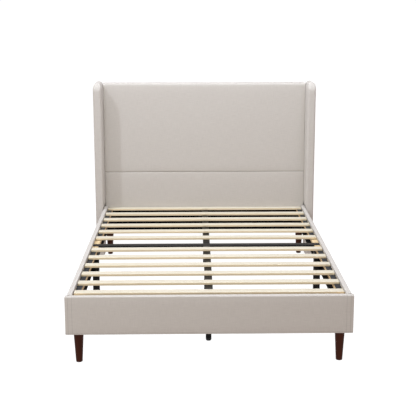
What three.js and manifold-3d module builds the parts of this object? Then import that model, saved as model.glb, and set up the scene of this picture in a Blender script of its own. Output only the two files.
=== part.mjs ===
// Upholstered wingback platform bed for a full-size (54 x 75 in) mattress.
// Millimetres, +Z up. The origin is on the floor under the middle of the bed.
// +Y points at the headboard, and left and right are as seen from the foot.
import * as THREE from "three";
import { mergeVertices } from "three/addons/utils/BufferGeometryUtils.js";
import Module from "manifold-3d";

const wasm = await Module();
wasm.setup();

// ---- Driving dimensions ----

const gap = 0.3; // between pieces that touch

// Plan
const frameLength = 1930; // foot rail's front face to the headboard's padded face
const footWidth = 1420; // foot rail over its cover
const railInset = 5; // side rail's outer face, in from the foot rail's end
const wingOverlap = 10; // side rail past the wing's inner face, in a notch in its padding

// Heights
const legHeight = 156; // floor to the underside of the rails and the headboard
const railHeight = 196;
const lowerPanelHeight = 438;
const panelSeam = 1; // between the two headboard panels
const upperPanelHeight = 619;
const wingRise = 11; // wing above the upper panel
const wingFloorGap = 30; // floor to the wing's bottom edge

// Upholstery
const boardThickness = 18;
const sideBoardThickness = 12; // in a side rail
const fabric = 2; // cover fabric with its thin backing
const lip = 1.5; // cover folded onto the foot rail's inner face
const topRoll = 7.5; // padding rolled over a side rail's inner top edge
const foamDepth = 38;
const panelRound = 18; // top front edge of a panel
const seamRound = 8; // panel edges along the seam
const backCloth = 1.5;
const sideRailPad = 7;
const footRailPad = 12;
const railCapPad = 5; // padding over a rail's top and bottom edges
const railRound = 7;
const upperLipHeight = 46;
const lowerLipHeight = 31;
const wingThickness = 60;
const wingPad = 17;
const wingReach = 115; // wing in front of the padded face
const wingFootDepth = 105; // wing below the headboard
const wingEdgeRound = 18;
const wingNoseRound = 60; // top front corner, seen from the side

// Slats and what carries them
const slatsPerGroup = 6;
const slatWidth = 50;
const slatThickness = 13;
const slatDrop = 8; // slat top below the rail top
const slatEndGap = 3; // slat end to the rail
const slatFootClearance = 50; // first slat to the foot rail
const slatHeadClearance = 2; // last slat to the headboard
const slatBarClearance = 78; // crossbar to the slats beside it
const webbingWidth = 31;
const webbingSetback = 1; // from the ledger's inner edge
const webbingThickness = 1.5;
const ledgerWidth = 40;
const ledgerHeight = 20;

// Steel frame
const crossbarWidth = 50;
const beamWidth = 40;
const beamHeight = 30;
const tubeWall = 2;
const seatReach = 25; // shelf on the crossbar under a beam's end
const seatThickness = 3;
const endPlate = { width: 90, height: 60, thickness: 4 };
const centreLegSize = 30;
const crossbarLegSize = 38;
const centreLegSetback = 284; // front and rear centre legs, from the beam's outer end
const legPlate = { margin: 12, thickness: 3 };
const legInsert = 10; // threaded plug in the bottom of a steel leg
const glide = { radius: 13, height: 8, stemRadius: 5, stemLength: 34 };

// Timber legs, blocks and brackets
const legTopRadius = 25;
const legFootRadius = 16.5;
const legInFromSide = 59; // front leg's axis, in from the foot rail's end
const legInFromFoot = 50;
const rearLegBehindFace = 22;
const bottomRailHeight = 42;
const cornerBlock = { size: 66, chamfer: 26, underLedger: 6 };
const bracket = { leaf: 62, thickness: 3, underLedger: 20, overRailBottom: 24 };
const boltHead = { radius: 6.5, height: 4 };

// ---- Derived places ----

const panelDepth = fabric + gap + foamDepth + gap + boardThickness;
const headboardDepth = panelDepth + gap + backCloth;
const footFace = -(frameLength + headboardDepth) / 2;
const panelFace = footFace + frameLength;
const boardFace = panelFace + fabric + gap + foamDepth + gap;
const panelBack = panelFace + panelDepth;
const headboardBack = panelFace + headboardDepth;

const sideRailThickness = sideRailPad + gap + sideBoardThickness + gap + topRoll;
const footRailThickness = footRailPad + gap + boardThickness + gap + lip;
const railOuter = footWidth / 2 - railInset;
const railInner = railOuter - sideRailThickness;
const railBoardFace = railInner + topRoll + gap;
const railSeat = railBoardFace - gap; // outer face of what is screwed to a side rail's board
const footInner = footFace + footRailThickness;
const railTop = legHeight + railHeight;
const wingInner = railOuter - wingOverlap;
const panelHalfWidth = wingInner - gap;

const seamBottom = legHeight + lowerPanelHeight;
const seamTop = seamBottom + panelSeam;
const panelTop = seamTop + upperPanelHeight;
const wingTop = panelTop + wingRise;

const slatTop = railTop - slatDrop;
const slatBottom = slatTop - slatThickness;
const webbingBottom = slatBottom - gap - webbingThickness;
const ledgerTop = webbingBottom - gap;
const ledgerBottom = ledgerTop - ledgerHeight;
const ledgerInner = railSeat - ledgerWidth;
const firstSlatEdge = footInner + slatFootClearance;
const lastSlatEdge = panelFace - slatHeadClearance;
const barY = (firstSlatEdge + lastSlatEdge) / 2;
const nearSlat = crossbarWidth / 2 + slatBarClearance + slatWidth / 2;
const farSlat = (lastSlatEdge - firstSlatEdge) / 2 - slatWidth / 2;
const slatPitch = (farSlat - nearSlat) / (slatsPerGroup - 1);

const beamTop = slatBottom - gap;
const beamBottom = beamTop - beamHeight;
const seatTop = beamBottom - gap;
const crossbarBottom = seatTop - seatThickness;
const crossbarHeight = slatBottom - crossbarBottom;

// ---- Finishes ----

const finish = (color, roughness, metalness = 0) => () =>
  new THREE.MeshStandardMaterial({ color, roughness, metalness });
const linen = finish(0xc9c2b8, 0.95);
const lining = finish(0x17171a, 0.95);
const foam = finish(0xe9dfb8, 0.95);
const plywood = finish(0xb08d60, 0.8);
const pine = finish(0xe9dcc0, 0.7);
const webbing = finish(0x2b2d31, 0.9);
const blackSteel = finish(0x2a2a2b, 0.45, 0.6);
const zincSteel = finish(0xa8abb0, 0.35, 0.9);
const walnut = finish(0x3f2018, 0.45);
const blackPlastic = finish(0x1b1b1c, 0.6);

// ---- Helpers ----

const bed = new THREE.Group();

function piece(name, geometry, material, position = [0, 0, 0], into = bed) {
  const mesh = new THREE.Mesh(geometry, material());
  mesh.name = name;
  mesh.position.set(...position);
  into.add(mesh);
  return mesh;
}

// A box between two corners.
function block(low, high) {
  const size = high.map((value, i) => value - low[i]);
  const middle = high.map((value, i) => (value + low[i]) / 2);
  return new THREE.BoxGeometry(...size).translate(...middle);
}

// An upright cylinder with its bottom centre at the given point.
function post(radius, height, [x, y, z], sides = 20) {
  return new THREE.CylinderGeometry(radius, radius, height, sides)
    .rotateX(Math.PI / 2)
    .translate(x, y, z + height / 2);
}

// Turns a shape drawn in (X, Y) and extruded along Z into one drawn in (Y, Z) and extruded along X.
const towardsX = new THREE.Matrix4().makeBasis(
  new THREE.Vector3(0, 1, 0),
  new THREE.Vector3(0, 0, 1),
  new THREE.Vector3(1, 0, 0),
);

// A shape drawn in (Y, Z), extruded along X between two values.
function alongX(shape, from, to) {
  return new THREE.ExtrudeGeometry(shape, { depth: to - from, bevelEnabled: false, curveSegments: 5 })
    .applyMatrix4(towardsX)
    .translate(from, 0, 0);
}

// A shape drawn in (X, Z), extruded along Y between two values.
function alongY(shape, from, to) {
  return new THREE.ExtrudeGeometry(shape, { depth: to - from, bevelEnabled: false, curveSegments: 5 })
    .rotateX(Math.PI / 2)
    .translate(0, to, 0);
}

// A shape drawn in (X, Y), extruded up between two heights.
function upright(shape, from, to) {
  return new THREE.ExtrudeGeometry(shape, { depth: to - from, bevelEnabled: false, curveSegments: 5 })
    .translate(0, 0, from);
}

// A rectangle from (a0, b0) to (a1, b1), with a radius for each corner, anticlockwise from (a0, b0).
function rounded(a0, b0, a1, b1, [r00, r10, r11, r01]) {
  const shape = new THREE.Shape();
  shape.moveTo(a0 + r00, b0);
  shape.lineTo(a1 - r10, b0);
  if (r10 > 0) shape.absarc(a1 - r10, b0 + r10, r10, -Math.PI / 2, 0);
  shape.lineTo(a1, b1 - r11);
  if (r11 > 0) shape.absarc(a1 - r11, b1 - r11, r11, 0, Math.PI / 2);
  shape.lineTo(a0 + r01, b1);
  if (r01 > 0) shape.absarc(a0 + r01, b1 - r01, r01, Math.PI / 2, Math.PI);
  shape.lineTo(a0, b0 + r00);
  if (r00 > 0) shape.absarc(a0 + r00, b0 + r00, r00, Math.PI, 1.5 * Math.PI);
  return shape;
}

// A hollow rectangle centred on (a, b).
function tubeShape(a, b, width, height) {
  const halves = [width / 2, height / 2];
  const corners = ([p, q]) => [[a - p, b - q], [a + p, b - q], [a + p, b + q], [a - p, b + q]]
    .map((pair) => new THREE.Vector2(...pair));
  const shape = new THREE.Shape(corners(halves));
  shape.holes.push(new THREE.Path(corners(halves.map((half) => half - tubeWall))));
  return shape;
}

function solid(geometry) {
  const bare = geometry.index ? geometry.toNonIndexed() : geometry.clone();
  bare.deleteAttribute("normal");
  bare.deleteAttribute("uv");
  const merged = mergeVertices(bare, 1e-4);
  return new wasm.Manifold(
    new wasm.Mesh({
      numProp: 3,
      vertProperties: new Float32Array(merged.attributes.position.array),
      triVerts: new Uint32Array(merged.index.array),
    }),
  );
}

function geometryOf(manifold) {
  const { vertProperties, triVerts } = manifold.getMesh();
  const geometry = new THREE.BufferGeometry();
  geometry.setAttribute("position", new THREE.BufferAttribute(vertProperties, 3));
  geometry.setIndex(new THREE.BufferAttribute(triVerts, 1));
  geometry.computeVertexNormals();
  return geometry;
}

const cut = (body, ...tools) =>
  geometryOf(tools.reduce((left, tool) => left.subtract(solid(tool)), solid(body)));
const join = (body, ...others) =>
  geometryOf(others.reduce((sum, other) => sum.add(solid(other)), solid(body)));
const common = (body, other) => geometryOf(solid(body).intersect(solid(other)));

// ---- Headboard panels ----

// Side view of a padded panel, shrunk by inset: round along its front top and front bottom edges.
function panelShape(bottom, top, topRound, bottomRound, inset, back) {
  const shrink = (radius) => Math.max(radius - inset, 0);
  return rounded(panelFace + inset, bottom + inset, back, top - inset,
    [shrink(bottomRound), 0, 0, shrink(topRound)]);
}

function paddedPanel(name, bottom, top, topRound, bottomRound, foamBottom) {
  const half = panelHalfWidth;
  const shape = (inset, back) => panelShape(bottom, top, topRound, bottomRound, inset, back);
  const shell = alongX(shape(0, panelBack), -half, half);
  const hollow = alongX(shape(fabric, panelBack + fabric), -half + fabric, half - fabric);
  piece(name + "_cover", cut(shell, hollow), linen);

  const inset = fabric + gap;
  const pad = alongX(shape(inset, boardFace - gap), -half + inset, half - inset);
  const above = block([-half, panelFace, foamBottom], [half, panelBack, top]);
  piece(name + "_foam", common(pad, above), foam);

  const board = block([-half + inset, boardFace, bottom + inset], [half - inset, panelBack, top - inset]);
  piece(name + "_board", board, plywood);
}

function headboard() {
  const railBase = legHeight + fabric + gap;
  const railCrown = railBase + bottomRailHeight;
  const half = panelHalfWidth - fabric - gap;
  paddedPanel("headboard_upper", seamTop, panelTop, panelRound, seamRound, seamTop);
  paddedPanel("headboard_lower", legHeight, seamBottom, seamRound, seamRound, railCrown + gap);
  piece("headboard_bottom_rail",
    block([-half, panelFace + seamRound, railBase], [half, boardFace - gap, railCrown]), plywood);
  piece("headboard_back_cloth",
    block([-half, panelBack + gap, railBase], [half, headboardBack, panelTop - fabric - gap]), lining);
}

// ---- Wings ----

// Side view of a wing, shrunk by inset, with its round nose at the top front.
function wingShape(inset, bottom) {
  return rounded(panelFace - wingReach + inset, bottom, headboardBack - inset, wingTop - inset,
    [0, 0, 0, Math.max(wingNoseRound - inset, 0)]);
}

// The padding is thinner where the side rail runs past the wing, and the board stands in a pocket open below.
// Below the headboard the wing is less deep, which leaves room for a skirting board behind it.
function wing(side, into) {
  const outline = new THREE.ExtrudeGeometry(wingShape(0, wingFloorGap), {
    depth: wingThickness - 2 * wingEdgeRound,
    bevelThickness: wingEdgeRound,
    bevelSize: wingEdgeRound,
    bevelOffset: -wingEdgeRound,
    bevelSegments: 4,
    curveSegments: 7,
  });
  outline.applyMatrix4(towardsX).translate(wingInner + wingEdgeRound, 0, 0);
  const low = wingInner + wingPad;
  const high = wingInner + wingThickness - wingPad;
  const hollow = alongX(wingShape(wingPad, wingFloorGap - fabric), low, high);
  const notch = block([wingInner - gap, panelFace - wingReach - gap, legHeight - gap],
    [railOuter + gap, panelFace, railTop + gap]);
  const footBack = panelFace - wingReach + wingFootDepth;
  const behindFoot = (front) => block([wingInner - gap, front, wingFloorGap - 2 * fabric],
    [wingInner + wingThickness + gap, headboardBack + gap, legHeight]);
  piece("wing_" + side + "_cover", cut(outline, hollow, notch, behindFoot(footBack)), linen, [0, 0, 0], into);
  const board = alongX(wingShape(wingPad + gap, wingFloorGap + fabric), low + gap, high - gap);
  piece("wing_" + side + "_board", cut(board, behindFoot(footBack - fabric)), plywood, [0, 0, 0], into);
}

// ---- Rails ----

// A side rail's padded cover wraps its board and rolls over the inner top edge, above the slats' supports.
function sideRail(side, into) {
  const front = footInner + gap;
  const back = panelFace - gap;
  const boardOut = railBoardFace + sideBoardThickness;
  const low = legHeight + railCapPad;
  const high = railTop - railCapPad;
  const section = rounded(railInner, legHeight, railOuter, railTop,
    [0, railRound, railRound, topRoll / 2]);
  const pocket = block([railSeat, front - gap, low - gap], [boardOut + gap, back + gap, high + gap]);
  const underRoll = block([railInner - gap, front - gap, legHeight - gap],
    [railBoardFace, back + gap, slatBottom + gap]);
  piece("side_rail_" + side + "_cover", cut(alongY(section, front, back), pocket, underRoll),
    linen, [0, 0, 0], into);
  piece("side_rail_" + side + "_board", block([railBoardFace, front, low], [boardOut, back, high]),
    plywood, [0, 0, 0], into);
}

// The foot rail's cover folds onto the inner face as two lips with a window between.
function footRail() {
  const half = footWidth / 2;
  const boardFront = footFace + footRailPad + gap;
  const boardBack = boardFront + boardThickness;
  const low = legHeight + railCapPad;
  const high = railTop - railCapPad;
  const section = rounded(footFace, legHeight, footInner, railTop, [railRound, 0, lip, railRound]);
  const plan = rounded(-half, footFace, half, footInner, [railRound, railRound, lip, lip]);
  const shell = common(alongX(section, -half, half), upright(plan, legHeight, railTop));
  const end = half - sideRailPad - gap;
  const pocket = block([-end - gap, boardFront - gap, low - gap],
    [end + gap, boardBack + gap, high + gap]);
  const window = block([-railInner, boardFront, legHeight + lowerLipHeight],
    [railInner, footInner + gap, railTop - upperLipHeight]);
  piece("foot_rail_cover", cut(shell, pocket, window), linen);
  piece("foot_rail_board", block([-end, boardFront, low], [end, boardBack, high]), plywood);
}

// ---- Slats, webbing and ledgers ----

// Distance of each slat of a group from the crossbar, nearest first.
const slatOffsets = Array.from({ length: slatsPerGroup }, (_, i) => nearSlat + i * slatPitch);

function slats() {
  const half = railInner - slatEndGap;
  const edge = 2;
  const section = rounded(-slatWidth / 2, 0, slatWidth / 2, slatThickness, [edge, edge, edge, edge]);
  const places = [...slatOffsets].reverse().map((offset) => -offset).concat(slatOffsets);
  places.forEach((offset, i) => {
    const name = "slat_" + String(i + 1).padStart(2, "0");
    piece(name, alongX(section, -half, half), pine, [0, barY + offset, slatBottom]);
  });
}

// One webbing strap and one ledger on each side of the crossbar.
function slatSupports(side, into) {
  const near = nearSlat - slatWidth / 2;
  const far = farSlat + slatWidth / 2;
  const middle = ledgerInner + webbingSetback + webbingWidth / 2;
  const groups = [
    ["front", [barY - far, barY - near], [footInner + gap, barY - crossbarWidth / 2 - gap]],
    ["rear", [barY + near, barY + far], [barY + crossbarWidth / 2 + gap, panelFace - gap]],
  ];
  for (const [end, strap, ledger] of groups) {
    const band = block([middle - webbingWidth / 2, strap[0], webbingBottom],
      [middle + webbingWidth / 2, strap[1], slatBottom - gap]);
    const strip = block([ledgerInner, ledger[0], ledgerBottom],
      [railSeat, ledger[1], ledgerTop]);
    piece("webbing_" + side + "_" + end, band, webbing, [0, 0, 0], into);
    piece("ledger_" + side + "_" + end, strip, pine, [0, 0, 0], into);
  }
}

// ---- Steel frame ----

function crossbar() {
  const half = railSeat;
  const section = tubeShape(barY, slatBottom - crossbarHeight / 2, crossbarWidth, crossbarHeight);
  const reach = crossbarWidth / 2 + seatReach;
  const shelf = block([-beamWidth / 2, barY - reach, crossbarBottom],
    [beamWidth / 2, barY + reach, seatTop]);
  piece("crossbar", join(alongX(section, -half, half), shelf), blackSteel);
}

// Each half of the centre beam has a plate on its outer end, which is screwed to the rail or the headboard.
function centreBeam(end, outer, inner) {
  const inwards = Math.sign(inner - outer);
  const section = tubeShape(0, beamBottom + beamHeight / 2, beamWidth, beamHeight);
  const tube = alongY(section, Math.min(outer, inner), Math.max(outer, inner));
  const face = outer + inwards * endPlate.thickness;
  const plate = block(
    [-endPlate.width / 2, Math.min(outer, face), beamTop - endPlate.height],
    [endPlate.width / 2, Math.max(outer, face), beamTop],
  );
  piece("centre_beam_" + end, join(tube, plate), blackSteel);
}

// A square tube with a top plate and a threaded insert at its foot, and the glide that screws into it.
function steelLeg(name, size, plateMargin, x, y, top) {
  const half = size / 2;
  const foot = glide.height + gap;
  const height = top - foot;
  const body = block([-half, -half, 0], [half, half, height]);
  const inside = half - tubeWall;
  const hollow = block([-inside, -inside, legInsert], [inside, inside, height - legPlate.thickness]);
  const hole = post(glide.stemRadius + gap, legInsert + 2, [0, 0, -1]);
  const plate = block([-half, -half - plateMargin, height - legPlate.thickness],
    [half, half + plateMargin, height]);
  piece(name, cut(join(body, plate), hollow, hole), blackSteel, [x, y, foot]);

  const stem = post(glide.stemRadius, glide.height / 2 + glide.stemLength, [0, 0, glide.height / 2]);
  const edge = 1.5;
  const disc = new THREE.LatheGeometry([
    new THREE.Vector2(0, 0),
    new THREE.Vector2(glide.radius - edge, 0),
    new THREE.Vector2(glide.radius, edge),
    new THREE.Vector2(glide.radius, glide.height - edge),
    new THREE.Vector2(glide.radius - edge, glide.height),
    new THREE.Vector2(0, glide.height),
  ], 20).rotateX(Math.PI / 2);
  piece(name + "_glide", join(disc, stem), blackPlastic, [x, y, 0]);
}

function steelFrame() {
  const frontEnd = footInner + gap;
  const rearEnd = panelFace - gap;
  const reach = crossbarWidth / 2 + gap;
  crossbar();
  centreBeam("front", frontEnd, barY - reach);
  centreBeam("rear", rearEnd, barY + reach);

  const underBeam = beamBottom - gap;
  const underBar = crossbarBottom - gap;
  const margin = legPlate.margin;
  steelLeg("centre_leg_front", centreLegSize, margin, 0, frontEnd + centreLegSetback, underBeam);
  steelLeg("centre_leg_middle", centreLegSize, 0, 0, barY, underBar);
  steelLeg("centre_leg_rear", centreLegSize, margin, 0, rearEnd - centreLegSetback, underBeam);
  const x = railSeat - crossbarLegSize / 2;
  steelLeg("crossbar_leg_left", crossbarLegSize, 0, -x, barY, underBar);
  steelLeg("crossbar_leg_right", crossbarLegSize, 0, x, barY, underBar);
}

// ---- Timber legs, corner blocks and brackets ----

// A turned leg: a straight taper with a small round at the foot and at the shoulder.
function turnedLeg(name, x, y) {
  const height = legHeight - gap;
  const edge = 2.5;
  const profile = [
    new THREE.Vector2(0, 0),
    new THREE.Vector2(legFootRadius - edge, 0),
    new THREE.Vector2(legFootRadius - edge / 3, edge / 3),
    new THREE.Vector2(legFootRadius, edge),
    new THREE.Vector2(legTopRadius, height - edge),
    new THREE.Vector2(legTopRadius - edge / 3, height - edge / 3),
    new THREE.Vector2(legTopRadius - edge, height),
    new THREE.Vector2(0, height),
  ];
  piece(name, new THREE.LatheGeometry(profile, 32).rotateX(Math.PI / 2), walnut, [x, y, 0]);
}

function cornerBlockPiece(side, into) {
  const { size, chamfer, underLedger } = cornerBlock;
  const outer = railSeat;
  const front = footInner + gap;
  const plan = new THREE.Shape([
    [outer, front], [outer, front + size], [outer - size + chamfer, front + size],
    [outer - size, front + size - chamfer], [outer - size, front],
  ].map((pair) => new THREE.Vector2(...pair)));
  piece("corner_block_" + side, upright(plan, legHeight, ledgerBottom - underLedger), pine, [0, 0, 0], into);
}

// An angle bracket with its screw heads: one leaf on the side rail, one on the headboard.
function rearBracket(side, into) {
  const { leaf, thickness, underLedger, overRailBottom } = bracket;
  const outer = railSeat;
  const back = panelFace - gap;
  const top = ledgerBottom - underLedger;
  const bottom = legHeight + overRailBottom;
  const quarter = (top - bottom) / 4;
  const plan = new THREE.Shape([
    [outer, back], [outer - leaf, back], [outer - leaf, back - thickness],
    [outer - thickness, back - thickness], [outer - thickness, back - leaf], [outer, back - leaf],
  ].map((pair) => new THREE.Vector2(...pair)));
  const middle = leaf / 2 + thickness;
  const heads = [bottom + quarter, top - quarter].flatMap((z) => [
    new THREE.CylinderGeometry(boltHead.radius, boltHead.radius, boltHead.height + 1, 12)
      .translate(outer - middle, back - thickness - boltHead.height / 2 + 0.5, z),
    new THREE.CylinderGeometry(boltHead.radius, boltHead.radius, boltHead.height + 1, 12)
      .rotateZ(Math.PI / 2)
      .translate(outer - thickness - boltHead.height / 2 + 0.5, back - middle, z),
  ]);
  piece("rear_bracket_" + side, join(upright(plan, bottom, top), ...heads), zincSteel, [0, 0, 0], into);
}

function timberLegs() {
  const frontX = footWidth / 2 - legInFromSide;
  const rearX = panelHalfWidth - legTopRadius;
  for (const [side, sign] of [["left", -1], ["right", 1]]) {
    turnedLeg("leg_front_" + side, sign * frontX, footFace + legInFromFoot);
    turnedLeg("leg_rear_" + side, sign * rearX, panelFace + rearLegBehindFace);
  }
}

// ---- Assembly ----

headboard();
footRail();
slats();
steelFrame();
timberLegs();
for (const [side, sign] of [["left", -1], ["right", 1]]) {
  const half = new THREE.Group();
  half.scale.x = sign;
  bed.add(half);
  wing(side, half);
  sideRail(side, half);
  slatSupports(side, half);
  cornerBlockPiece(side, half);
  rearBracket(side, half);
}

export default bed;
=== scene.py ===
# %% [markdown]
# # An upholstered wingback bed, dressed around its CAD frame
#
# The CAD model already holds every board, slat, tube and leg at its real size. This notebook gives the
# bed what CAD can't: covers that swell over foam, linen with a weave, planed timber, powder-coated
# steel and lacquered legs. Everything is in metres, +Z is up, +Y points at the headboard, and the
# origin is on the floor.

# %% Load the frame
import math
import bmesh
import bpy
import numpy as np
from mathutils import Matrix, Vector


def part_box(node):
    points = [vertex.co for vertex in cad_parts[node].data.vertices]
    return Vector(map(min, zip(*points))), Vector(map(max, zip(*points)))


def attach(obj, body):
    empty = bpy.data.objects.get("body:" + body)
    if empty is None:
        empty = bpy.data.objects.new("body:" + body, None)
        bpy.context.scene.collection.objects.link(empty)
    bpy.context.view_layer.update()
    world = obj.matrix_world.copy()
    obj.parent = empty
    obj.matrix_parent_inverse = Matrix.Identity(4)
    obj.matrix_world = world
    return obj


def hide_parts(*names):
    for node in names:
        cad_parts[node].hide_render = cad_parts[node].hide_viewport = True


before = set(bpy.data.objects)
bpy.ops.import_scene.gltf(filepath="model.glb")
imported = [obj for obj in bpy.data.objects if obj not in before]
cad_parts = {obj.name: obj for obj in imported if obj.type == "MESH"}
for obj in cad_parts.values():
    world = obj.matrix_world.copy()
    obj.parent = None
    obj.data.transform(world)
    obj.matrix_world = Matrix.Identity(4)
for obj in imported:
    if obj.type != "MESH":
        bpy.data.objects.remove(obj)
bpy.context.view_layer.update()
MM = 0.001
BODY = "frame"  # the CAD body that everything but the glides belongs to

# %% [markdown]
# ## Camera
#
# The camera comes first, because the rest is judged through it. It stands 4 m in front of the foot
# rail, a little left of the middle, and looks down on the slats with a long lens. A small downward
# shift of the lens does part of the work of more tilt, so the uprights converge less.

# %% Camera
LENS_MM = 76.44
CAMERA_AT = (-0.0752, -5.1176, 1.7802)
PITCH_DOWN = math.radians(10.736)
YAW_RIGHT = math.radians(0.941)
ROLL = math.radians(-0.052)


def camera_axes(pitch, yaw, roll):
    """Right, up and backward axes: the view turns right by yaw, tips down by pitch, then rolls about
    itself."""
    level = math.cos(pitch)
    ahead = Vector((math.sin(yaw) * level, math.cos(yaw) * level, -math.sin(pitch)))
    right = Vector((math.cos(yaw), -math.sin(yaw), 0))
    up = right.cross(ahead)
    rolled_right = right * math.cos(roll) + up * math.sin(roll)
    rolled_up = up * math.cos(roll) - right * math.sin(roll)
    return rolled_right, rolled_up, -ahead


camera = bpy.data.objects.new("camera", bpy.data.cameras.new("camera"))
bpy.context.scene.collection.objects.link(camera)
axes = Matrix(camera_axes(PITCH_DOWN, YAW_RIGHT, ROLL)).transposed()
camera.matrix_world = Matrix.Translation(CAMERA_AT) @ axes.to_4x4()
camera.data.lens = LENS_MM
camera.data.sensor_width = 36
camera.data.shift_y = -0.1
camera.data.clip_end = 60
bpy.context.scene.camera = camera
print("camera at", CAMERA_AT, "lens", LENS_MM, "mm")

# %% [markdown]
# ## Tools for materials
#
# Colours are picked as sRGB hex values, as a paint chart gives them, and the shader wants linear light.
# One function does that turn. Another adds a node with its settings and links, so that a material reads
# as a list.


# %% Colour and node helpers
def linear(hex_colour):
    """sRGB to linear RGBA: a dark channel is divided by 12.92, and others are ((c + 0.055) / 1.055) to
    the 2.4."""
    channels = [int(hex_colour[i : i + 2], 16) / 255 for i in (1, 3, 5)]
    return [c / 12.92 if c <= 0.04045 else ((c + 0.055) / 1.055) ** 2.4 for c in channels] + [1]


def toned(hex_colour, times):
    """A linear colour with its red, green and blue multiplied: above 1 it is lighter, below 1
    darker."""
    return [times * c for c in linear(hex_colour)[:3]] + [1]


def add_node(tree, kind, inputs=None, **settings):
    """Adds a shader node. Settings are its own properties; inputs maps a socket to a value or to an
    output."""
    made = tree.nodes.new("ShaderNode" + kind)
    for key, value in settings.items():
        setattr(made, key, value)
    for socket, value in (inputs or {}).items():
        if isinstance(value, bpy.types.NodeSocket):
            tree.links.new(value, made.inputs[socket])
        else:
            made.inputs[socket].default_value = value
    return made


def new_material(name, roughness, **sockets):
    """A material, its node tree and its Principled shader, with the constant sockets set."""
    material = bpy.data.materials.new(name)
    material.use_nodes = True
    tree = material.node_tree
    shader = tree.nodes["Principled BSDF"]
    shader.inputs["Roughness"].default_value = roughness
    for socket, value in sockets.items():
        shader.inputs[socket.replace("_", " ")].default_value = value
    return material, tree, shader


def mix_colours(tree, factor, first, second):
    """A colour that goes from first to second as factor goes from 0 to 1."""
    return add_node(tree, "Mix", {0: factor, 6: first, 7: second}, data_type="RGBA").outputs[2]


def paint(tree, shader, factor, first, second):
    """The shader's colour goes from first to second as factor goes from 0 to 1."""
    tree.links.new(mix_colours(tree, factor, first, second), shader.inputs["Base Color"])


def spread(tree, value, low, high):
    """Stretches the part of value between low and high over 0 to 1."""
    inputs = {"Value": value, "From Min": low, "From Max": high}
    return add_node(tree, "MapRange", inputs).outputs["Result"]


def scaled(tree, source, scale):
    """The coordinates in source, multiplied along each axis."""
    return add_node(tree, "Mapping", {"Vector": source, "Scale": scale}).outputs["Vector"]


def noise(tree, vector, scale, detail=2.0, roughness=0.5):
    """Soft random values; scale is waves per metre, because the coordinates are in metres."""
    inputs = {"Vector": vector, "Scale": scale, "Detail": detail, "Roughness": roughness}
    return add_node(tree, "TexNoise", inputs).outputs["Fac"]


def maths(tree, operation, first, second=0.0):
    """One sum of two values, or one function of the first."""
    return add_node(tree, "Math", {0: first, 1: second}, operation=operation).outputs[0]


def bump(tree, shader, height, depth, strength=1.0):
    """Tilts the shading as if the surface rose by depth metres where height is 1."""
    inputs = {"Height": height, "Distance": depth, "Strength": strength}
    tree.links.new(add_node(tree, "Bump", inputs).outputs["Normal"], shader.inputs["Normal"])


# %% [markdown]
# ## Linen-look polyester on the covers
#
# The covers are a plain weave in warm greige: matt, with a faint sheen where fibres stand up and catch
# light from the side. Real threads are about 0.6 mm apart. That is too fine to show, so the weave is
# drawn at 1.2 mm. From across a room the eye only picks up the slub: slightly thicker stretches of
# yarn, a few centimetres long, in both directions, two or three shades apart. The pattern reads the UV
# map, which holds metres along the cloth, so it follows each surface.
#
# On the foot rail the cloth is folded at the corners like a parcel, and hemmed along the bottom. Those
# folds are only a change of level of one cloth thickness. They could be modelled, but a line of that
# size is finer than the mesh, so the material draws it: painted shade darkens the crease, with a small
# step in the bump.

# %% Linen
THREAD_MM = 1.2
SLUB_WIDTH_MM = 2.2
SLUB_LENGTH_MM = 50.0
CREASE_MM = 2.5  # a real crease is under 1 mm wide, too fine to show


def crease_lines(tree, upright_at, level_at):
    """1 on thin lines: at the given distances either side of the middle, and at one height. Each line
    is 1 minus the distance from it over half the crease width, not below 0."""
    place = add_node(tree, "SeparateXYZ", {0: add_node(tree, "TexCoord").outputs["Object"]})
    sideways = maths(tree, "ABSOLUTE", place.outputs["X"])
    away = [maths(tree, "ABSOLUTE", maths(tree, "SUBTRACT", sideways, at)) for at in upright_at]
    away.append(maths(tree, "ABSOLUTE", maths(tree, "SUBTRACT", place.outputs["Z"], level_at)))
    nearest = maths(tree, "MINIMUM", maths(tree, "MINIMUM", away[0], away[1]), away[2])
    return spread(tree, nearest, CREASE_MM / 2 * MM, 0.0)


def linen_cloth(name, yarn, shade, creases=None):
    """Plain weave: warp bumps are triangle waves across the cloth, weft bumps along it, and a checker
    says which is on top. creases gives where folds are: two distances from the middle, and a height."""
    material, tree, shader = new_material(name, 0.92, Sheen_Weight=0.1, Sheen_Roughness=0.5,
                                          Specular_IOR_Level=0.2)
    cloth = add_node(tree, "UVMap", uv_map="cloth").outputs["UV"]
    threads = scaled(tree, cloth, [1 / (THREAD_MM * MM)] * 3)
    parts = add_node(tree, "SeparateXYZ", {"Vector": threads})
    across = maths(tree, "PINGPONG", parts.outputs["X"], 0.5)
    along = maths(tree, "PINGPONG", parts.outputs["Y"], 0.5)
    on_top = add_node(tree, "TexChecker", {"Vector": threads, "Scale": 1.0}).outputs["Fac"]
    weave = add_node(tree, "Mix", {0: on_top, 2: across, 3: along}, data_type="FLOAT").outputs[0]

    thin, long = 1000 / SLUB_WIDTH_MM, 1000 / SLUB_LENGTH_MM
    warp = noise(tree, scaled(tree, cloth, (thin, long, 1)), 1.0, 1.0)
    weft = noise(tree, scaled(tree, cloth, (long, thin, 1)), 1.0, 1.0)
    slub = maths(tree, "MULTIPLY", maths(tree, "ADD", warp, weft), 0.5)
    tone = spread(tree, slub, 0.32, 0.68)
    colour = mix_colours(tree, tone, linear(shade), linear(yarn))
    height = maths(tree, "ADD", maths(tree, "MULTIPLY", weave, 0.7), slub)
    if creases:
        crease_with_painted_shade = crease_lines(tree, creases[:2], creases[2])
        # painted shade: the crease line darkens the colour where a real fold would fall into shade
        colour = mix_colours(tree, crease_with_painted_shade, colour, toned(shade, 0.72))
        height = maths(tree, "SUBTRACT", height, maths(tree, "MULTIPLY", crease_with_painted_shade, 2.0))
    tree.links.new(colour, shader.inputs["Base Color"])
    bump(tree, shader, height, 0.22 * MM, 0.5)
    return material


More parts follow.
